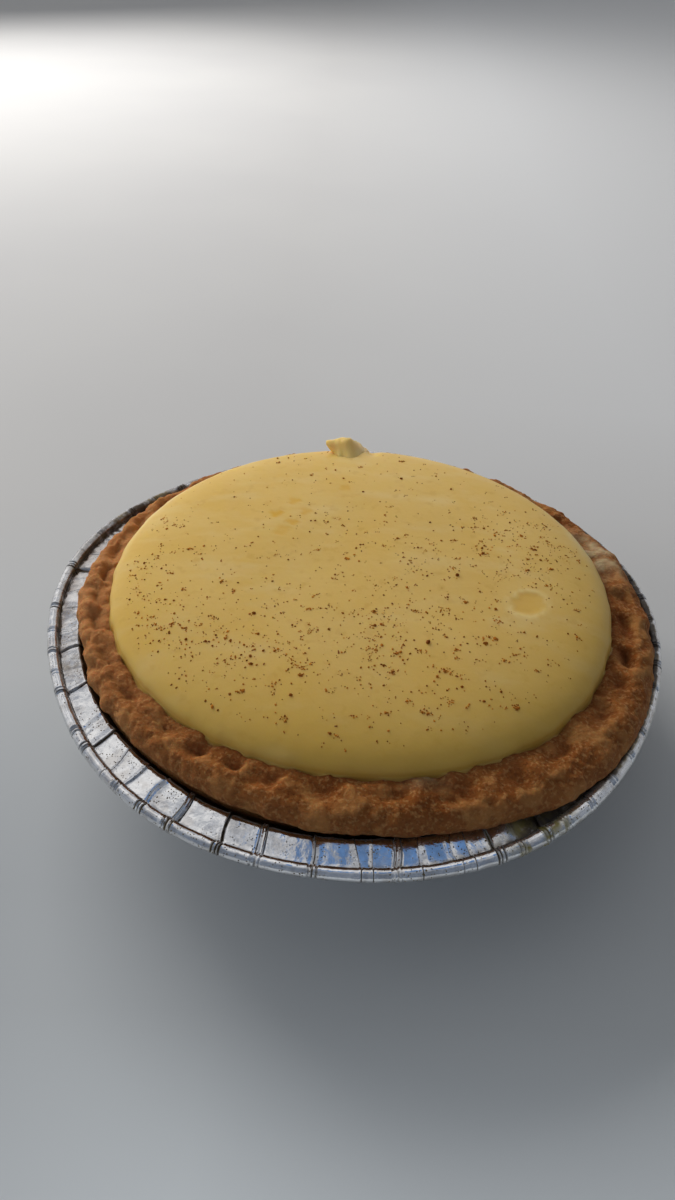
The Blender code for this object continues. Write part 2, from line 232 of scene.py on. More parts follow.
# Sections through a crease, from side to side: distance from its middle, height on the flange and
# height on the bead. A fold lies over to one side, a pleat stands up and a line is a light nick.
CREASES = {
    "fold": [(-1.3, 0.0, 0.0), (-0.95, 0.02, 0.06), (-0.7, 0.04, -0.16), (-0.45, 0.07, 0.08),
             (-0.22, 0.14, 0.04), (-0.06, 0.20, -0.18), (0.06, -0.20, -0.02), (0.22, -0.14, 0.10),
             (0.5, -0.03, -0.14), (0.75, 0.0, 0.05), (1.1, 0.0, 0.0)],
    "pleat": [(-1.4, 0.0, 0.0), (-1.0, -0.02, 0.07), (-0.75, -0.05, -0.15), (-0.58, -0.22, -0.05),
              (-0.46, 0.10, 0.10), (-0.28, 0.32, 0.04), (0.0, 0.14, -0.18), (0.28, 0.34, 0.06),
              (0.46, 0.10, 0.10), (0.58, -0.22, -0.16), (0.75, -0.04, -0.04), (1.0, -0.02, 0.07),
              (1.4, 0.0, 0.0)],
    "line": [(-0.6, 0.0, 0.0), (-0.3, 0.03, 0.06), (-0.1, 0.06, 0.02), (0.0, -0.12, -0.15),
             (0.1, 0.05, 0.02), (0.35, 0.02, 0.05), (0.6, 0.0, 0.0)],
}


def smooth_step(low, high, value):
    share = min(max((value - low) / (high - low), 0.0), 1.0)
    return share * share * (3.0 - 2.0 * share)


def round_noise(angle, cells, layer):
    """Smooth noise from -1 to 1 that closes after a full turn."""
    return noise.noise(Vector((cells * math.cos(angle), cells * math.sin(angle), layer)))


def rim_shift(angle):
    """How far the rim stands out from a true circle."""
    return sum(depth * math.cos(count * (angle - start)) for count, depth, start in RIM_LOBES)


def swell(angle, middle, width, size=1.0):
    """A size at one place on the round that falls to 0 beside it. The place is in degrees."""
    turn = math.remainder(math.degrees(angle) - middle, 360.0)
    return size * math.exp(-(turn / width) ** 2)


def draw_rings(name, columns, rings):
    """Draw a round body out of a circle, pulling each ring of the list out of the last one."""
    bpy.ops.object.select_all(action='DESELECT')
    bpy.ops.mesh.primitive_circle_add(vertices=columns, radius=rings[0][0] * MM,
                                      location=(0.0, 0.0, rings[0][1] * MM))
    body = bpy.context.object
    body.name = name
    body.data.name = name
    bpy.ops.object.transform_apply()
    bpy.ops.object.mode_set(mode='EDIT')
    bpy.ops.mesh.select_all(action='SELECT')
    for last, ring in zip(rings, rings[1:]):
        grow = ring[0] / last[0]
        rise = (ring[1] - last[1]) * MM
        bpy.ops.mesh.extrude_edges_move(TRANSFORM_OT_translate={"value": (0.0, 0.0, rise)})
        bpy.ops.transform.resize(value=(grow, grow, 1.0), center_override=(0.0, 0.0, ring[1] * MM))
    bpy.ops.object.mode_set(mode='OBJECT')
    return body


def close_ring(body, numbers):
    """Merge a ring of points to one in its middle, which closes the body there."""
    bpy.ops.object.mode_set(mode='EDIT')
    bpy.ops.mesh.select_all(action='DESELECT')
    bpy.ops.object.mode_set(mode='OBJECT')
    for number in numbers:
        body.data.vertices[number].select = True
    bpy.ops.object.mode_set(mode='EDIT')
    bpy.ops.mesh.select_mode(type='VERT')
    bpy.ops.mesh.merge(type='CENTER')
    bpy.ops.object.mode_set(mode='OBJECT')


def face_outwards(body):
    bpy.ops.object.mode_set(mode='EDIT')
    bpy.ops.mesh.select_all(action='SELECT')
    bpy.ops.mesh.normals_make_consistent(inside=False)
    bpy.ops.object.mode_set(mode='OBJECT')


def new_marks(body, *names):
    """Give a body's points new marks for its material to read. Returns the values of each mark."""
    for name in names:
        body.data.attributes.new(name, 'FLOAT', 'POINT')
    return [body.data.attributes[name].data for name in names]


# Where the creases are, with their kind, side, strength, slant and bow across the flange. Those at
# the front are placed one by one: angle in degrees, kind and strength. Chance places the others.
FRONT_CREASES = [
    (216.0, "fold", 1.0), (221.0, "fold", 1.2), (227.0, "line", 1.4), (231.5, "fold", 0.8),
    (236.0, "fold", 1.3), (242.3, "pleat", 1.3), (249.8, "fold", 1.4), (256.3, "pleat", 0.9),
    (264.8, "fold", 1.0), (271.2, "line", 1.3), (273.4, "line", 1.1), (277.4, "pleat", 0.8),
    (280.5, "line", 1.1), (285.6, "line", 1.0), (288.2, "line", 1.2), (292.2, "fold", 1.3),
    (296.5, "fold", 0.9), (301.0, "fold", 1.1)]
FRONT_START, FRONT_END = 212.0, 304.0
KINDS, KIND_SHARES = ("fold", "pleat", "line"), (6, 2, 4)
CREASE_SPACING, STRENGTHS = (4.2, 7.6), (0.6, 1.25)
random.seed(7)
places = [(math.radians(degrees), kind, strength) for degrees, kind, strength in FRONT_CREASES]
angle = 0.02
while angle < 2 * math.pi - 0.05:
    kind = random.choices(KINDS, KIND_SHARES)[0]
    if not FRONT_START < math.degrees(angle) < FRONT_END:
        places.append((angle, kind, random.uniform(*STRENGTHS)))
    angle += random.uniform(*CREASE_SPACING) / RIM_RADIUS
creases = []
for angle, kind, strength in sorted(places):
    creases.append({"angle": angle, "kind": kind, "side": random.choice((-1, 1)), "strength": strength,
                    "slant": random.gauss(0.0, 0.55), "bow": random.gauss(0.0, 1.1),
                    "tilt": random.gauss(0.0, 0.065), "lean": random.gauss(0.0, 0.055)})

# Columns of points: angle, crease to the left, share of the way to the next crease, and heights of
# the crease's section on the flange and on the bead
columns = []
for number, crease in enumerate(creases):
    section = CREASES[crease["kind"]]
    if crease["side"] < 0:
        section = [(-offset, flange, bead) for offset, flange, bead in reversed(section)]
    for offset, flange, bead in section:
        columns.append((crease["angle"] + offset / RIM_RADIUS, number if offset >= 0 else number - 1,
                        0.0 if offset >= 0 else 1.0, flange * crease["strength"],
                        bead * crease["strength"]))
    follower = creases[(number + 1) % len(creases)]
    start = crease["angle"] + section[-1][0] / RIM_RADIUS
    side = CREASES[follower["kind"]][-1 if follower["side"] < 0 else 0][0]
    end = follower["angle"] + math.copysign(side, -1) / RIM_RADIUS
    if number == len(creases) - 1:
        end += 2 * math.pi
    count = max(int((end - start) * RIM_RADIUS / PLAIN_STEP), 1)
    for step in range(1, count):
        share = step / count
        columns.append((start + (end - start) * share, number, share, 0.0, 0.0))

# The profile: radius, height, then the shares of wall, flange and bead, and place across the flange
rings = [
    (0.5, 1.0, 0, 0, 0, 0), (14.0, 1.0, 0, 0, 0, 0), (26.0, 1.0, 0, 0, 0, 0), (32.4, 1.0, 0, 0, 0, 0),
    (33.2, 0.8, 0, 0, 0, 0), (34.2, 0.2, 0, 0, 0, 0), (34.9, FOIL_THICKNESS, 0, 0, 0, 0),
    (BASE_RADIUS - 0.6, FOIL_THICKNESS, 0, 0, 0, 0), (BASE_RADIUS + 0.5, 0.35, 0.1, 0, 0, 0),
    (BASE_RADIUS + 1.3, 1.1, 0.3, 0, 0, 0)]
WALL_FOOT, WALL_TOP, WALL_RINGS = Vector((42.5, 2.4)), Vector((51.9, 20.9)), 7
for step in range(WALL_RINGS + 1):
    share = step / WALL_RINGS
    spot = WALL_FOOT.lerp(WALL_TOP, share)
    rings.append((spot.x, spot.y, 0.5 + 0.5 * share, 0.0, 0.0, 0.0))
# The rings at the top of the wall, beside the pastry
FIRST_WALL_RING, LAST_WALL_RING = len(rings) - 3, len(rings)
rings += [(52.75, 21.95, 1.0, 0.3, 0, 0.0), (52.98, 22.3, 0.2, 1.0, 0, 0.0)]
for across in (0.02, 0.12, 0.3, 0.5, 0.7, 0.88):
    rings.append((FLANGE_INNER + across * (FLANGE_OUTER - FLANGE_INNER),
                  FLANGE_HEIGHT + FLANGE_FALL * (0.5 - across), 0, 1, 0, across))
GROOVE_RADIUS, GROOVE_TOP = FLANGE_OUTER + 0.08, FLANGE_HEIGHT - 0.5 * FLANGE_FALL
rings += [(FLANGE_OUTER - 0.08, GROOVE_TOP + 0.02, 0, 0.6, 0.1, 1.0),
          (GROOVE_RADIUS, GROOVE_TOP - 0.25, 0, 0.2, 0.2, 1.0)]
BEAD_MIDDLE = Vector((RIM_RADIUS - 1.2, FLANGE_HEIGHT - 0.2))
for degrees in range(155, -125, -23):
    turn = math.radians(degrees)
    rings.append((BEAD_MIDDLE.x + BEAD_RADIUS * math.cos(turn),
                  BEAD_MIDDLE.y + BEAD_RADIUS * math.sin(turn),
                  0, 0.25 if degrees > 90 else 0.0, 1, 1.0))

tin = draw_rings("foil_dish", len(columns), rings)
fat_and_shade_marks, singes, drips = new_marks(tin, "fat_and_shade", "singe", "drip")
column_step = 2 * math.pi / len(columns)
for vertex in tin.data.vertices:
    row = vertex.index // len(columns)
    radius, height, wall, flange, bead, across = rings[row]
    turned = math.atan2(vertex.co.y, vertex.co.x)
    column = columns[round((turned - math.pi / 2) / column_step) % len(columns)]
    angle, number, share, flange_height, bead_height = column
    fuller = bead * swell(angle, *FULL_BEAD)
    radius -= 0.6 * fuller + bead * swell(angle, *TIGHT_BEAD)
    gape = swell(angle, *WIDE_GAP) + swell(angle, *NARROW_GAP)
    radius += gape * (flange * (1.0 - across) if row > LAST_WALL_RING else max(2.0 * wall - 1.0, 0.0) ** 2)
    left, right = creases[number], creases[(number + 1) % len(creases)]
    # Columns lean and bow with the creases beside them
    off_middle = across - 0.5
    place_left = left["slant"] * off_middle + left["bow"] * off_middle ** 2
    place_right = right["slant"] * off_middle + right["bow"] * off_middle ** 2
    angle += (wall * 0.4 + flange + bead) * (place_left + (place_right - place_left) * share) / RIM_RADIUS
    # Which way the profile faces here
    before, after = rings[max(row - 1, 0)], rings[min(row + 1, len(rings) - 1)]
    facing = Vector((before[1] - after[1], after[0] - before[0])).normalized()
    spot = Vector((radius * math.cos(angle), radius * math.sin(angle), height))
    small = noise.fractal(spot * 0.9, 1.0, 2.0, 3)
    lift = flange * (flange_height + (0.035 + swell(angle, *CRUMPLED_SIDE)) * small)
    lift += flange * 2.2 * (share - 0.5) * left["tilt"] * (1.0 - abs(2 * share - 1) ** 6)
    lift += flange * off_middle * 3.2 * left["lean"] * math.sin(math.pi * min(max(share, 0.08), 0.92))
    lift += flange * 0.12 * round_noise(angle, 6.0, 8.0)
    lift -= flange * off_middle * swell(angle, *DISHED_FRONT)
    lift += bead * (bead_height + 0.03 * small + 0.06 * round_noise(angle, 30.0, 2.0)) + fuller
    lift += wall * (0.8 * flange_height + 0.3 * noise.noise(Vector((angle * 25.0, height * 0.03, 2.0)))
                    + 0.05 * small)
    radius += facing.x * lift
    height += facing.y * lift
    radius += rim_shift(angle) * smooth_step(FLANGE_INNER - 3.0, FLANGE_OUTER, radius)
    height = max(height, FOIL_THICKNESS)
    vertex.co = Vector((radius * math.cos(angle), radius * math.sin(angle), height)) * MM + FOIL_AXIS
    # Fat in the groove beside the bead and spilt over the flange
    spill = swell(angle, *FAT_SPILL) * smooth_step(53.5, 55.5, radius) * flange
    spill += swell(angle, *FAT_DROP) * flange
    groove = 1.0 if abs(rings[row][0] - GROOVE_RADIUS) < 0.02 else 0.0
    groove *= 1.0 - swell(angle, *CLEANER_GROOVE)
    groove = max(groove, flange * smooth_step(0.6, 0.95, across) * swell(angle, *FAT_STREAK))
    # Black: painted shade in the gap at the top of the wall and painted dark reflections in every
    # crease, and fat baked black in the groove and all over the right side
    round_bead = (rings[row][0] - BEAD_MIDDLE.x) / BEAD_RADIUS
    inner_side = bead * smooth_step(0.6, 0.0, round_bead)
    in_groove = bead * smooth_step(-0.55, -0.85, round_bead)
    degrees = math.remainder(math.degrees(angle), 360.0)
    black_side = smooth_step(*BLACK_FROM, degrees) * (1.0 - smooth_step(*BLACK_TO, degrees))
    scorched = max(flange * black_side, inner_side * black_side * smooth_step(-52, -40, degrees))
    scorched *= 0.9 + 0.2 * small
    scorched = max(scorched, inner_side * swell(angle, *BLACK_BEAD),
                   in_groove * swell(angle, *BLACK_GROOVE))
    # Painted shade along the bottom of each crease, on the flange and across the bead
    crease_shade = flange * smooth_step(0.14, 0.22, -flange_height) + bead * smooth_step(0.12, 0.2, -bead_height)
    black_fat_and_shade = max(scorched, 0.85 * crease_shade, 0.66 * groove * (1.0 - swell(angle, *WIPED_GROOVE)))
    # The flange's rounded lip beside the pastry: painted shade, thinner in front
    if row == LAST_WALL_RING + 1:
        black_fat_and_shade = max(black_fat_and_shade, 0.75 - swell(angle, *THINNER_LIP_SHADE))
    # The mark is up to 1 where there is brown fat, and from 1.2 to 2 where it turns black: baked fat,
    # and painted shade at the top of the wall, in the gap beside the pastry
    inside = 2.0 if FIRST_WALL_RING <= row <= LAST_WALL_RING else 0.0
    fat_and_shade_marks[vertex.index].value = max(min(groove + spill * (0.6 + 0.8 * small), 1.0), 2.0 * black_fat_and_shade) + inside
    singe = max(in_groove, flange * max(0.45, smooth_step(0.5, 0.85, across)))
    singes[vertex.index].value = swell(angle, *SINGED_SIDE) * singe
    drips[vertex.index].value = swell(angle, *CUSTARD_SPLASH) * max(bead, flange) * (0.75 + small)
close_ring(tin, range(len(columns)))
face_outwards(tin)
skin = tin.modifiers.new("Foil", 'SOLIDIFY')
skin.thickness = FOIL_THICKNESS * MM
skin.offset = -1.0
bpy.ops.object.modifier_apply(modifier=skin.name)
bpy.ops.object.shade_smooth_by_angle(angle=math.radians(40))

# Fine relief, which foil, pastry and custard each have in their own size
RELIEF_NUMBERS = ("Cells per metre", "Detail", "Roughness", "Strength", "Depth")
fine_relief, given = new_group("fine_relief", RELIEF_NUMBERS, "Normal", 'NodeSocketVector')
cloud = add_node(fine_relief, "TexNoise", {"Vector": given["Place"], "Scale": given["Cells per metre"],
                                           "Detail": given["Detail"], "Roughness": given["Roughness"]})
bump = add_node(fine_relief, "Bump", {"Height": cloud.outputs[0], "Strength": given["Strength"],
                                      "Distance": given["Depth"]})
fine_relief.links.new(bump.outputs[0], fine_relief.nodes.new("NodeGroupOutput").inputs["Normal"])


def roughen(tree, shader, place, cells, detail, strength, depth, roughness=0.5):
    """The fine relief in a material, with its own values. Depth is in metres."""
    node = add_node(tree, "Group", {"Place": place, "Cells per metre": cells, "Detail": detail,
                                    "Roughness": roughness, "Strength": strength, "Depth": depth},
                    node_tree=fine_relief)
    tree.links.new(node.outputs["Normal"], shader.inputs["Normal"])


def marked(tree, name):
    """A mark of the piece's points, in its material."""
    return add_node(tree, "Attribute", attribute_name=name).outputs["Fac"]


def stronger(tree, first, second):
    node = add_node(tree, "Math", {0: first, 1: second}, operation='MAXIMUM', use_clamp=True)
    return node.outputs[0]


BRIGHT_FOIL, PALE_FOIL, DULL_FOIL = (0.78, 0.79, 0.81), (0.90, 0.90, 0.91), (0.60, 0.575, 0.56)
SINGED_FOIL, DRIED_CUSTARD = (0.20, 0.13, 0.09), (0.30, 0.25, 0.075)
DARK_FAT, LIGHT_FAT, BLACK_FAT_AND_SHADE = (0.09, 0.062, 0.038), (0.22, 0.17, 0.085), (0.022, 0.014, 0.009)
SPECKS_PER_METRE, SPECK_SIZE, SPECK_SHARE = 2300.0, 0.27, 0.6

foil, tree, shader, place = new_finish("kitchen_foil")
grey = tint(tree, mottle(tree, place, 900.0, 4.0, 0.35, 0.65), BRIGHT_FOIL, PALE_FOIL)
grey = tint(tree, mottle(tree, place, 330.0, 3.0, 0.5, 0.6, 0.6), grey, DULL_FOIL)
singed = product(tree, marked(tree, "singe"), mottle(tree, place, 300.0, 4.0, 0.2, 0.6))
grey = tint(tree, singed, grey, SINGED_FOIL)
# Specks of fat and crumbs: cells pushed out of shape, of which a share have a small speck
shaky = add_node(tree, "TexNoise", {"Vector": place, "Scale": 2500.0, "Detail": 2.0})
push = add_node(tree, "VectorMath", {0: shaky.outputs["Color"], "Scale": 0.0004}, operation='SCALE')
pushed = add_node(tree, "VectorMath", {0: place, 1: push.outputs[0]}, operation='ADD')
cells = add_node(tree, "TexVoronoi", {"Vector": pushed.outputs[0], "Scale": SPECKS_PER_METRE})
chance = add_node(tree, "SeparateColor", {0: cells.outputs["Color"]}).outputs[0]
within = add_node(tree, "Math", {0: cells.outputs["Distance"], 1: SPECK_SIZE}, operation='LESS_THAN')
chosen = add_node(tree, "Math", {0: chance, 1: SPECK_SHARE}, operation='LESS_THAN')
specks = product(tree, within.outputs[0], chosen.outputs[0])
specks = product(tree, specks, mottle(tree, place, 240.0, 2.0, 0.40, 0.50))
# Black from 1.2 up on the mark: baked fat, and painted shade in the gap and the creases
fat_and_shade = marked(tree, "fat_and_shade")
black_share = stretch(tree, fat_and_shade, 1.2, 2.0)
fat_and_shade = product(tree, fat_and_shade, mottle(tree, place, 700.0, 3.0, 0.25, 0.6))
dirt_and_shade = stronger(tree, specks, fat_and_shade)
soiled = tint(tree, mottle(tree, place, 160.0, 2.0, 0.4, 0.6), DARK_FAT, LIGHT_FAT)
grey = tint(tree, dirt_and_shade, grey, soiled)
drip = product(tree, marked(tree, "drip"), mottle(tree, place, 420.0, 4.0, 0.42, 0.52))
grey = tint(tree, drip, grey, DRIED_CUSTARD)
tree.links.new(tint(tree, black_share, grey, BLACK_FAT_AND_SHADE), shader.inputs["Base Color"])
dirt_and_shade = stronger(tree, stronger(tree, dirt_and_shade, drip), black_share)
tree.links.new(stretch(tree, dirt_and_shade, 0.0, 1.0, 1.0, 0.15), shader.inputs["Metallic"])
dull = stretch(tree, mottle(tree, place, 500.0, 5.0, 0.3, 0.7), 0.0, 1.0, 0.07, 0.20)
dull = add_node(tree, "Math", {0: dirt_and_shade, 1: 0.3, 2: dull}, operation='MULTIPLY_ADD').outputs[0]
tree.links.new(dull, shader.inputs["Roughness"])
roughen(tree, shader, place, 600.0, 4.0, 0.5, 0.0002)
tin.data.materials.append(foil)
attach(tin, "root")
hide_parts("foil_tin")

# The case: shortcrust pastry, baked golden brown. It fills the tin, and its thick edge was pressed
# with a finger from the inside, which left slanting hollows with a steep wall on one side.
CRUST_INNER, CREST_TILT, CREST_DROP = 47.4, 0.7, 1.1
CASE_SHIFT, FILLING_SHIFT = Vector((1.6, 1.1)), Vector((0.7, 1.3))
CRUST_COLUMNS, ROUNDINGS = 1020, 3
CREST_RADIUS, PRESS_SLANT = 50.0, 0.07
PRESS_WIDTHS, PRESS_DEPTHS, PRESS_REACHES = (6.5, 11.5), (0.8, 2.0), (0.28, 0.52)
# What changes round the crust: middle and width in degrees, and how much. The case bulges in
# millimetres, and the filling as a share of its radius. The hollows are deeper or flatter.
CASE_BULGES = [(-50.0, 30.0, 2.4), (-98.0, 14.0, 0.7)]
FILLING_BULGE = (-47.0, 27.0, 0.021)
PRESS_CHANGES = [(-50, 30, -0.45), (-14, 20, 0.8), (14, 11, -0.9)]
KNOBBLY_SIDE, SMOOTH_PLACE = (195, 48), (14, 11, 0.6)
# A band of painted highlight along the crest, with middle, width and strength; and the left side, made
# paler by painted light
CREST_HIGHLIGHT, LIT_LEFT_SIDE = (-10, 42, 0.9), (176, 42)
# Dried custard on the crust, with where it comes in going from the outer side to the custard
FILM_PLACES = [((17, 9), (0.15, 0.5)), ((-78, 3, 0.6), (0.6, 0.9))]

# Radius, height, shares of the outer and inner shift, share of relief, and place from the outer
# side, 0, to the custard, 1
case_points = [
    (0.5, 4.6, 0, 1, 0, 1), (38.3, 4.6, 0, 1, 0, 1), (40.5, 6.2, 0, 1, 0, 1), (46.6, 22.0, 0, 1, 0, 1),
    (46.7, 25.5, 0, 1, 0.4, 1), (47.1, 27.2, 0.0, 1.0, 0.7, 0.98), (48.8, 27.6, 0.2, 0.8, 1, 0.8),
    (50.8, 27.9, 0.5, 0.5, 1, 0.5), (52.6, 27.2, 0.85, 0.15, 1, 0.28), (53.7, 26.2, 1, 0, 1, 0.15),
    (54.3, 24.9, 1, 0, 0.9, 0.07), (54.2, 23.9, 1.1, 0, 0.7, 0.03), (53.4, 23.0, 1.3, 0, 0.4, 0.0),
    (51.9, 22.6, 0.4, 0, 0.2, 0.0), (51.2, 21.0, 0, 0, 0, 0), (42.1, 2.9, 0, 0, 0, 0),
    (41.0, 1.45, 0, 0, 0, 0), (0.5, 1.45, 0, 0, 0, 0)]
FIRST_SHOWN, LAST_SHOWN = 4, 13


def corner_cut(points):
    """Round a line of points off by cutting each corner at a quarter of its sides."""
    rounded = [points[0]]
    for one, two in zip(points, points[1:]):
        rounded.append(tuple(a + (b - a) * 0.25 for a, b in zip(one, two)))
        rounded.append(tuple(a + (b - a) * 0.75 for a, b in zip(one, two)))
    return rounded + [points[-1]]


shown = case_points[FIRST_SHOWN:LAST_SHOWN + 1]
for _ in range(ROUNDINGS):
    shown = corner_cut(shown)
case_rings = case_points[:FIRST_SHOWN] + shown + case_points[LAST_SHOWN + 1:]

# One press of the finger after another: where each starts, and how deep and how far out it goes
random.seed(19)
noise.seed_set(19)
presses = []
angle = 0.0
while angle < 2 * math.pi - 0.08:
    presses.append((angle, random.uniform(*PRESS_DEPTHS), random.uniform(*PRESS_REACHES)))
    angle += random.uniform(*PRESS_WIDTHS) / CREST_RADIUS
presses.append((2 * math.pi, *presses[0][1:]))


def press_depth(angle, across):
    """How deep the finger's hollows are at this place."""
    turn = (angle - PRESS_SLANT * across + 0.03 * round_noise(angle, 5.0, 3.0)) % (2 * math.pi)
    number = max(i for i, press in enumerate(presses[:-1]) if press[0] <= turn)
    start, depth, reach = presses[number]
    share = (turn - start) / (presses[number + 1][0] - start)
    along = smooth_step(0.0, 0.75, share) * (1.0 - smooth_step(0.74, 1.0, share))
    reach += 0.05 * round_noise(angle, 20.0, 5.0)
    inward = smooth_step(reach - 0.04, reach + 0.18, across)
    inward *= 1.0 - 0.75 * smooth_step(0.66, 0.95, across)
    return depth * along * inward


case = draw_rings("pastry_case", CRUST_COLUMNS, case_rings)
hollow_shades, lights, pale_and_lit_marks, films = new_marks(case, "hollow", "crest", "pale", "film")
edge_middle = Vector((CRUST_INNER + 3.0, 24.0))
for vertex in case.data.vertices:
    radius, height, outer, inner, relief_share, across = case_rings[vertex.index // CRUST_COLUMNS]
    angle = math.atan2(vertex.co.y, vertex.co.x)
    outward = (Vector((radius, height)) - edge_middle).normalized()
    spot = Vector((radius * math.cos(angle), radius * math.sin(angle), height))
    pressed = press_depth(angle, across) if relief_share > 0 else 0.0
    pressed *= 1.0 + sum(swell(angle, *change) for change in PRESS_CHANGES)
    lump = noise.noise(spot * 0.21)
    left_side = swell(angle, *KNOBBLY_SIDE)
    knob = noise.fractal(spot * 0.52, 1.1, 2.1, 2) * (1.0 - 0.45 * left_side)
    warped = spot * 0.235 + 0.4 * noise.noise_vector(spot * 0.3)
    mound = 0.75 - 2.6 * noise.voronoi(warped)[0][0] ** 2
    knob += mound * (0.25 + 0.85 * left_side)
    crumb = noise.noise(spot * 1.6)
    crest = smooth_step(0.08, 0.25, across) * (1.0 - smooth_step(0.35, 0.6, across))
    lip = math.exp(-((across - 0.93) / 0.12) ** 2)
    lip *= 0.35 + 1.3 * noise.noise(spot * 0.3 + Vector((0.0, 0.0, 9.0)))
    lumpy = (0.38 + 0.22 * left_side) * (1.0 - swell(angle, *SMOOTH_PLACE))
    lift = relief_share * (0.15 * crest + 0.75 * lump + lumpy * knob + 0.13 * crumb + 0.8 * lip - pressed)
    radius += outward.x * lift + outer * sum(swell(angle, *bulge) for bulge in CASE_BULGES)
    height += outward.y * lift - min(relief_share, 1.0) * CREST_TILT * math.sin(angle)
    height -= min(relief_share, 1.0) * CREST_DROP * smooth_step(0.1, 0.7, math.sin(angle))
    radius *= 1.0 + inner * swell(angle, *FILLING_BULGE)
    shift = outer * CASE_SHIFT + inner * FILLING_SHIFT
    x, y = radius * math.cos(angle) + shift.x, radius * math.sin(angle) + shift.y
    vertex.co = Vector((x, y, height)) * MM + FOIL_AXIS
    # Painted shade in the finger hollows
    hollow_shades[vertex.index].value = min(pressed / 1.2, 1.0)
    # Lighter gold at random, and painted highlights on the lumps and along the crest, less in hollows
    patch = noise.noise(spot * 0.24 + Vector((0.0, 0.0, 31.0))) + 0.5 * knob
    light = smooth_step(0.05, 0.5, patch) * relief_share - 0.4 * pressed
    light += swell(angle, *CREST_HIGHLIGHT) * math.exp(-((across - 0.42) / 0.10) ** 2) * (0.7 + knob)
    lights[vertex.index].value = min(max(light, 0.0), 1.0)
    # Painted light on the left side, and a little paler on the outer side
    pale_and_lit_marks[vertex.index].value = min(swell(angle, *LIT_LEFT_SIDE) + 0.2 * smooth_step(0.3, 0.1, across), 1.0)
    film = sum(swell(angle, *where) * smooth_step(*reach, across) for where, reach in FILM_PLACES)
    films[vertex.index].value = film * (0.8 + knob)


def close_ends(body, sides, ring_count):
    """Close a round body at its last ring and at its first."""
    last_ring = (ring_count - 1) * sides
    close_ring(body, range(last_ring, last_ring + sides))
    close_ring(body, range(sides))


close_ends(case, CRUST_COLUMNS, len(case_rings))
face_outwards(case)
bpy.ops.object.shade_smooth()

CRUST_BROWN, CRUST_GOLDEN = (0.255, 0.082, 0.0175), (0.35, 0.124, 0.030)
LIGHT_CRUMBS, DARK_CRUMBS = (0.58, 0.31, 0.12), (0.15, 0.040, 0.010)
HOLLOW_SHADE_BROWN, GOLD_AND_HIGHLIGHT = (0.17, 0.047, 0.011), (0.54, 0.265, 0.085)
PALE_AND_LIT_BISCUIT, CUSTARD_FILM = (0.62, 0.285, 0.11), (0.56, 0.43, 0.25)

pastry, tree, shader, place = new_finish("golden_shortcrust", Subsurface_Weight=0.3, Subsurface_Scale=0.002,
                                         Specular_IOR_Level=0.15)
brown = tint(tree, mottle(tree, place, 230.0, 5.0, 0.36, 0.64), CRUST_BROWN, CRUST_GOLDEN)
brown = tint(tree, mottle(tree, place, 1500.0, 4.0, 0.5, 0.66, 0.6), brown, LIGHT_CRUMBS)
brown = tint(tree, mottle(tree, place, 1900.0, 3.0, 0.54, 0.68, 0.6), brown, DARK_CRUMBS)
# Painted shade in the hollows
brown = tint(tree, stretch(tree, marked(tree, "hollow"), 0.1, 1.0, 0.0, 0.65), brown, HOLLOW_SHADE_BROWN)
# Lighter gold at random, and painted highlights on lumps and crest
brown = tint(tree, stretch(tree, marked(tree, "crest"), 0.2, 1.0, 0.0, 0.5), brown, GOLD_AND_HIGHLIGHT)
# Painted light on the left side, and paler on the outer side
brown = tint(tree, stretch(tree, marked(tree, "pale"), 0.0, 1.0, 0.0, 0.68), brown, PALE_AND_LIT_BISCUIT)
film = product(tree, marked(tree, "film"), mottle(tree, place, 420.0, 3.0, 0.1, 0.55, 0.85))
tree.links.new(tint(tree, film, brown, CUSTARD_FILM), shader.inputs["Base Color"])
baked = mottle(tree, place, 800.0, 3.0, 0.2, 0.8)
tree.links.new(stretch(tree, baked, 0.0, 1.0, 0.62, 0.85), shader.inputs["Roughness"])
roughen(tree, shader, place, 1700.0, 6.0, 0.85, 0.00065, roughness=0.7)
case.data.materials.append(pastry)
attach(case, "root")
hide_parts("pastry_crust")

# The filling: set egg custard, poured to the brim. It stands plump above the pastry, with burst
# bubbles in its skin.
CUSTARD_MIDDLE = Vector((0.9, 1.05, 0.0)) * MM
CUSTARD_RADIUS, CUSTARD_EDGE, DOME_HEIGHT, DOME_SQUARENESS = 47.05, 28.0, 6.4, 2.5
CUSTARD_COLUMNS = 640
TOP_RINGS, FILM_RINGS = 58, 7
# The dent beside the curl: place, reach both ways and depth
DENT_X, DENT_Y, DENT_REACH_X, DENT_REACH_Y, DENT_DEPTH = 2.0, 44.0, 1.3, 2.5, 0.9
# Each bubble: place, width and how deep a yellow it is
BUBBLES = [(30.2, -10.4, 6.6, 0.45), (-13.9, 18.1, 2.7, 0.8), (-17.2, 13.1, 2.7, 1.2),
           (-11.5, 14.2, 2.6, 0.7), (-13.9, 10.3, 2.2, 0.9), (-15.8, 7.3, 3.6, 0.5),
           (-3.9, 23.9, 2.6, 0.6)]
# Where the edge of the filling is paler, with how far out that starts and ends: a pale film on the
# right and a painted highlight at the back on the left. And where the edge is a deeper yellow, which
# in front is painted shade
PALE_FILM_AND_HIGHLIGHT_EDGES = [((16, 9, 0.7), (0.91, 0.99)), ((148, 26, 1.0), (0.96, 0.985))]
SHADED_FRONT_EDGE = (-70, 75, 0.85)


def filling_stretch(x, y):
    """How many times wider than a circle the filling is in the direction of a point."""
    return 1.0 + swell(math.atan2(y, x), *FILLING_BULGE)


def dome_rise(share):
    """How far the custard stands above its edge, at a share of the way out to it."""
    return DOME_HEIGHT * (1.0 - share ** DOME_SQUARENESS) ** (1.0 / DOME_SQUARENESS)


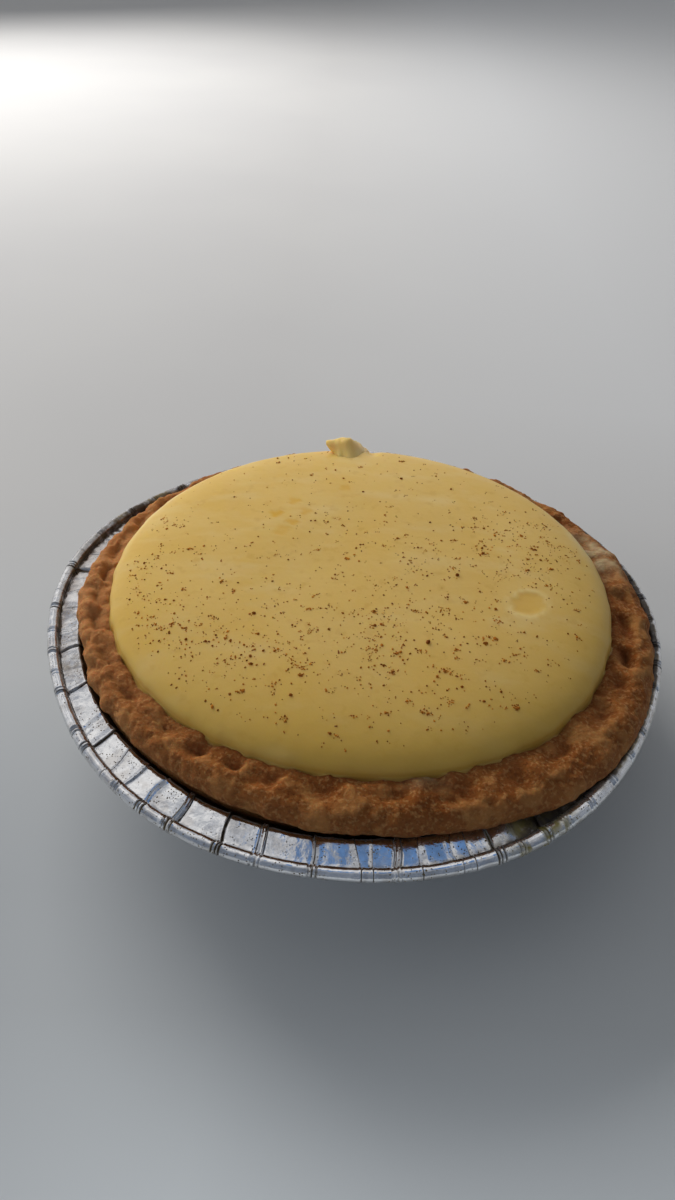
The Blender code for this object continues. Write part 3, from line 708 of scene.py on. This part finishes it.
def dome_height(x, y):
    """Height of the custard's smooth top at a point measured from its middle."""
    share = min(math.hypot(x, y) / (CUSTARD_RADIUS * filling_stretch(x, y)), 1.0)
    wave = 0.25 * noise.noise(Vector((x, y, 0.0)) * 0.06) * (1.0 - share ** 4)
    dent = DENT_DEPTH * math.exp(-((x - DENT_X) / DENT_REACH_X) ** 2 - ((y - DENT_Y) / DENT_REACH_Y) ** 2)
    return CUSTARD_EDGE + dome_rise(share) + wave - dent


custard_rings = []
for step in range(1, TOP_RINGS + 1):
    share = math.sin(0.5 * math.pi * step / TOP_RINGS) ** 0.9
    custard_rings.append((share * CUSTARD_RADIUS, CUSTARD_EDGE + dome_rise(share)))
for step in range(1, FILM_RINGS + 1):
    custard_rings.append((CUSTARD_RADIUS + 0.1 * step, CUSTARD_EDGE - 0.1 * step))
custard_rings += [(46.9, 26.6), (46.6, 26.0), (46.2, 22.0), (40.1, 6.4), (38.0, 5.0), (0.5, 5.0)]
pastry_shape = BVHTree.FromPolygons([vertex.co for vertex in case.data.vertices],
                                    [tuple(face.vertices) for face in case.data.polygons])
custard = draw_rings("set_custard", CUSTARD_COLUMNS, custard_rings)
bubble_marks, edge_and_shade_marks = new_marks(custard, "bubble", "edge")
for vertex in custard.data.vertices:
    row = vertex.index // CUSTARD_COLUMNS
    x, y = vertex.co.x / MM, vertex.co.y / MM
    wider = filling_stretch(x, y)
    x, y = x * wider, y * wider
    share = math.hypot(x, y) / (CUSTARD_RADIUS * wider)
    angle = math.atan2(y, x)
    brim = 0.5 * press_depth(angle, 0.95) + 0.1
    if row < TOP_RINGS:
        height = dome_height(x, y)
        mark = 0.0
        for bubble_x, bubble_y, width, depth in BUBBLES:
            apart = math.hypot(x - bubble_x - 0.3 * (y - bubble_y), 0.95 * (y - bubble_y)) / (width / 2)
            apart += 0.12 * noise.noise(Vector((x, y, 4.0)) * 0.6)
            if apart < 1.8:
                lip = math.exp(-((apart - 1.08) / 0.16) ** 2) if width > 5.0 else 0.0
                height += width * (0.008 * lip - 0.02 * (1.0 - smooth_step(0.6, 1.1, apart)))
                mark += depth * (1.0 - smooth_step(0.7, 1.05, apart)) - 0.5 * lip
        height += 0.03 * noise.noise(Vector((x, y, 7.0)) * 0.5)
        outside = smooth_step(0.972, 1.0, share)
        spread = 1.0 + outside * brim / CUSTARD_RADIUS
        vertex.co = Vector((x * spread, y * spread, height)) * MM
        # Paler edges: a film on the right, and a painted highlight at the back on the left
        for where, reach in PALE_FILM_AND_HIGHLIGHT_EDGES:
            mark -= swell(angle, *where) * smooth_step(*reach, share)
        bubble_marks[vertex.index].value = 0.5 + 0.5 * mark
        # Deeper yellow towards the edge, and painted shade at the front
        edge_and_shade_marks[vertex.index].value = smooth_step(0.62, 1.0, share) * (0.15 + swell(angle, *SHADED_FRONT_EDGE))
    elif row < TOP_RINGS + FILM_RINGS:
        # The brim creeps over the pastry as a thin film that ends in its surface
        share = (row - TOP_RINGS + 1) / FILM_RINGS
        reach = 0.2 + 0.2 * round_noise(angle, 9.0, 4.0) + 0.35 * press_depth(angle, 0.8)
        radius = CUSTARD_RADIUS * wider + brim + share * max(reach, 0.12)
        spot = Vector((radius * math.cos(angle), radius * math.sin(angle), 40.0)) * MM + CUSTARD_MIDDLE
        below = pastry_shape.ray_cast(spot, Vector((0.0, 0.0, -1.0)))[0].z / MM
        thickness = 0.32 * (1.0 - share) * smooth_step(0.15, -0.25, below - CUSTARD_EDGE)
        height = below + thickness - 0.07
        height = CUSTARD_EDGE + (height - CUSTARD_EDGE) * smooth_step(0.0, 0.5, share)
        vertex.co = Vector((spot.x - CUSTARD_MIDDLE.x, spot.y - CUSTARD_MIDDLE.y, height * MM))
        edge_and_shade_marks[vertex.index].value = 1.0 + share
        bubble_marks[vertex.index].value = 0.5
    else:
        vertex.co *= Vector((wider, wider, 1.0))
        edge_and_shade_marks[vertex.index].value = 1.0
        bubble_marks[vertex.index].value = 0.5
    vertex.co += CUSTARD_MIDDLE
close_ends(custard, CUSTARD_COLUMNS, len(custard_rings))
face_outwards(custard)
bpy.ops.object.shade_smooth()

CUSTARD_YELLOW, CUSTARD_PALE = (0.765, 0.50, 0.125), (0.785, 0.535, 0.16)
PALE_STREAKS, WARM_SPOTS = (0.80, 0.60, 0.26), (0.62, 0.35, 0.06)
BUBBLE_FLOOR, PALE_LIP_AND_HIGHLIGHT = (0.74, 0.42, 0.05), (0.88, 0.68, 0.30)
DEEP_EDGE_AND_SHADE, BAKED_FILM = (0.62, 0.39, 0.05), (0.44, 0.21, 0.04)
cream, tree, shader, place = new_finish("set_egg_custard", Subsurface_Weight=0.4, Subsurface_Scale=0.004,
                                        Subsurface_Radius=(1.0, 0.7, 0.2), Specular_IOR_Level=0.3)
yellow = tint(tree, mottle(tree, place, 60.0, 3.0, 0.35, 0.65), CUSTARD_YELLOW, CUSTARD_PALE)
drawn_out = add_node(tree, "Mapping", {"Vector": place, "Scale": (1.0, 2.6, 1.0)}).outputs[0]
yellow = tint(tree, mottle(tree, drawn_out, 75.0, 5.0, 0.52, 0.72, 0.5), yellow, PALE_STREAKS)
yellow = tint(tree, mottle(tree, place, 420.0, 3.0, 0.58, 0.72, 0.3), yellow, WARM_SPOTS)
bubble, edge = marked(tree, "bubble"), marked(tree, "edge")
yellow = tint(tree, stretch(tree, bubble, 0.5, 1.0, 0.0, 0.95), yellow, BUBBLE_FLOOR)
# Pale bubble lips, and a painted highlight along the back left edge
yellow = tint(tree, stretch(tree, bubble, 0.5, 0.2, 0.0, 0.7), yellow, PALE_LIP_AND_HIGHLIGHT)
# The deeper edge, with painted shade in front, and the baked film over the pastry
yellow = tint(tree, stretch(tree, edge, 0.0, 1.0, 0.0, 0.62), yellow, DEEP_EDGE_AND_SHADE)
yellow = tint(tree, stretch(tree, edge, 1.0, 1.6, 0.0, 0.8), yellow, BAKED_FILM)
tree.links.new(yellow, shader.inputs["Base Color"])
satin = mottle(tree, place, 300.0, 3.0, 0.3, 0.7)
tree.links.new(stretch(tree, satin, 0.0, 1.0, 0.40, 0.52), shader.inputs["Roughness"])
roughen(tree, shader, place, 900.0, 4.0, 0.15, 0.0002)
custard.data.materials.append(cream)
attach(custard, "root")
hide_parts("custard_filling")

# The curl: a tongue of custard that was drawn up at the far edge when the ladle was lifted away. It
# leans over to the left and ends in a small hooked tip.
CURL_SIDES = 28
CURL_Y = 43.6
# How far the foot spreads towards the middle of the tart and towards the crust, and up to what height
SPREAD_INWARDS, SPREAD_OUTWARDS, FOOT_HEIGHT = 3.6, 2.0, 6.2
# From the foot to the tip: place to the right, height above the custard's edge, half height, half depth
curl_path = [(2.0, 0.1, 0.6, 1.4), (1.2, 0.5, 1.2, 1.9), (0.2, 1.0, 1.8, 2.2), (-1.2, 1.9, 2.5, 2.4),
             (-2.6, 2.8, 3.3, 2.4), (-4.2, 3.5, 3.15, 2.2), (-5.4, 4.1, 2.3, 1.7), (-6.6, 4.6, 1.35, 1.2),
             (-7.7, 4.8, 0.95, 0.8), (-8.6, 5.2, 0.35, 0.4)]
for _ in range(2):
    curl_path = corner_cut(curl_path)
curl = draw_rings("custard_curl", CURL_SIDES, [(1.0, float(row)) for row in range(len(curl_path))])
for vertex in curl.data.vertices:
    x, z, half_height, half_depth = curl_path[vertex.index // CURL_SIDES]
    turn = math.atan2(vertex.co.y, vertex.co.x)
    spot = Vector((x, half_depth * math.sin(turn), z + half_height * math.cos(turn)))
    rough = 1.0 + 0.15 * noise.fractal(spot * 0.7, 1.0, 2.0, 3)
    height = CUSTARD_EDGE + z + rough * half_height * math.cos(turn)
    foot = max(0.0, 1.0 - (height - CUSTARD_EDGE) / FOOT_HEIGHT)
    spread = 1.0 + foot * (SPREAD_INWARDS if math.sin(turn) < 0 else SPREAD_OUTWARDS)
    y = CURL_Y + rough * half_depth * math.sin(turn) * spread
    vertex.co = Vector((x, y, height)) * MM + CUSTARD_MIDDLE
close_ends(curl, CURL_SIDES, len(curl_path))
face_outwards(curl)
bpy.ops.object.shade_smooth()
# A lighter yellow than the custard's: painted light, for light shining through the thin curl
LIT_CURL_YELLOW, LIT_CURL_PALE = (0.97, 0.66, 0.21), (0.98, 0.69, 0.25)
lit_curl_cream, tree, shader, place = new_finish("curl_custard_painted_light", Subsurface_Weight=0.5, Subsurface_Scale=0.002,
                                             Subsurface_Radius=(1.0, 0.7, 0.3), Specular_IOR_Level=0.3)
yellow = tint(tree, mottle(tree, place, 200.0, 4.0, 0.35, 0.65), LIT_CURL_YELLOW, LIT_CURL_PALE)
tree.links.new(yellow, shader.inputs["Base Color"])
tree.links.new(mottle(tree, place, 300.0, 3.0, 0.0, 1.4), shader.inputs["Roughness"])
curl.data.materials.append(lit_curl_cream)
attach(curl, "root")
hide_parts("custard_filling")

# The dusting: freshly grated nutmeg, about two thousand irregular flecks half sunk in the custard,
# single or in small clumps. They lie thickest across the front half and near the right-hand edge.
FLECK_COUNT = 1900
# How many bits lie together, how often, how wide they are and how far they are spread
FLECK_KINDS = [((1, 1), 72, 0.21, 0.0), ((2, 4), 19, 0.18, 0.19),
               ((6, 12), 7, 0.20, 0.26), ((1, 2), 2, 0.36, 0.1)]
DUSTED_RADIUS = 45.0
# Middle, reach both ways and thickness of each drift of nutmeg
DRIFTS = [((-3.0, -25.0), (30.0, 14.0), 0.60), ((33.0, 6.0), (9.0, 10.0), 0.80),
          ((-29.0, -25.0), (8.0, 8.0), 0.60), ((-40.0, -8.0), (7.0, 20.0), 0.50),
          ((14.0, -10.0), (16.0, 9.0), 0.22), ((4.0, 5.0), (30.0, 9.0), 0.16),
          ((28.0, 11.0), (10.0, 6.0), 0.25)]
THIN_DUST = 0.055
DARK_NUTMEG, LIGHT_NUTMEG, CUT_NUTMEG = (0.18, 0.045, 0.004), (0.72, 0.27, 0.03), (0.42, 0.14, 0.02)


def nutmeg_thickness(x, y):
    """Share of the dusting at a point measured from the custard's middle."""
    thickness = THIN_DUST
    for (drift_x, drift_y), (reach_x, reach_y), amount in DRIFTS:
        thickness += amount * math.exp(-((x - drift_x) / reach_x) ** 2 - ((y - drift_y) / reach_y) ** 2)
    clumps = 0.5 + 0.7 * noise.noise(Vector((x, y, 3.0)) * 0.28)
    return thickness * max(clumps, 0.08) * (1.0 - smooth_step(42.5, 46.0, math.hypot(x, y)))


random.seed(5)
bpy.ops.object.select_all(action='DESELECT')
bpy.ops.mesh.primitive_ico_sphere_add(subdivisions=1, radius=1.0)
crumb = bpy.context.object
corners = [vertex.co.copy() for vertex in crumb.data.vertices]
sides = [tuple(face.vertices) for face in crumb.data.polygons]
bpy.data.objects.remove(crumb)
points, faces, tones = [], [], []
count = 0
while count < FLECK_COUNT:
    x = random.uniform(-DUSTED_RADIUS, DUSTED_RADIUS)
    y = random.uniform(-DUSTED_RADIUS, DUSTED_RADIUS)
    if math.hypot(x, y) > DUSTED_RADIUS or random.random() > nutmeg_thickness(x, y):
        continue
    if any(math.hypot(x - bubble[0], y - bubble[1]) < 0.55 * bubble[2] for bubble in BUBBLES):
        continue
    count += 1
    (fewest, most), _, width, spread = random.choices(FLECK_KINDS, [kind[1] for kind in FLECK_KINDS])[0]
    for _ in range(random.randint(fewest, most)):
        tone = random.random() ** (0.8 if most > 4 else 1.8)
        bit_width = width * math.exp(random.gauss(0.0, 0.35))
        bit_x, bit_y = x + random.gauss(0.0, 1.3 * spread), y + random.gauss(0.0, spread)
        turn = Matrix.Rotation(random.gauss(0.0, 0.9), 3, 'Z')
        size = Vector((random.uniform(0.4, 0.75), random.uniform(0.4, 0.75), random.uniform(0.3, 0.5)))
        size *= bit_width
        start = len(points)
        for corner in corners:
            spot = turn @ Vector(c * s * random.uniform(0.7, 1.2) for c, s in zip(corner, size))
            spot += Vector((bit_x, bit_y, 0.0))
            spot.z += dome_height(spot.x, spot.y) + 0.10 * bit_width
            points.append(spot * MM + CUSTARD_MIDDLE)
            tones.append(tone)
        faces += [tuple(start + corner for corner in side) for side in sides]
dust_mesh = bpy.data.meshes.new("nutmeg_dusting")
dust_mesh.from_pydata(points, [], faces)
dust = bpy.data.objects.new("nutmeg_dusting", dust_mesh)
scene.collection.objects.link(dust)
dust_mesh.attributes.new("tone", 'FLOAT', 'POINT').data.foreach_set("value", tones)
nutmeg, tree, shader, place = new_finish("grated_nutmeg", Specular_IOR_Level=0.2, Roughness=0.8)
spice = tint(tree, marked(tree, "tone"), DARK_NUTMEG, LIGHT_NUTMEG)
spice = tint(tree, mottle(tree, place, 4000.0, 2.0, 0.4, 0.7, 0.4), spice, CUT_NUTMEG)
tree.links.new(spice, shader.inputs["Base Color"])
dust_mesh.materials.append(nutmeg)
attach(dust, "root")
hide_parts("custard_filling")
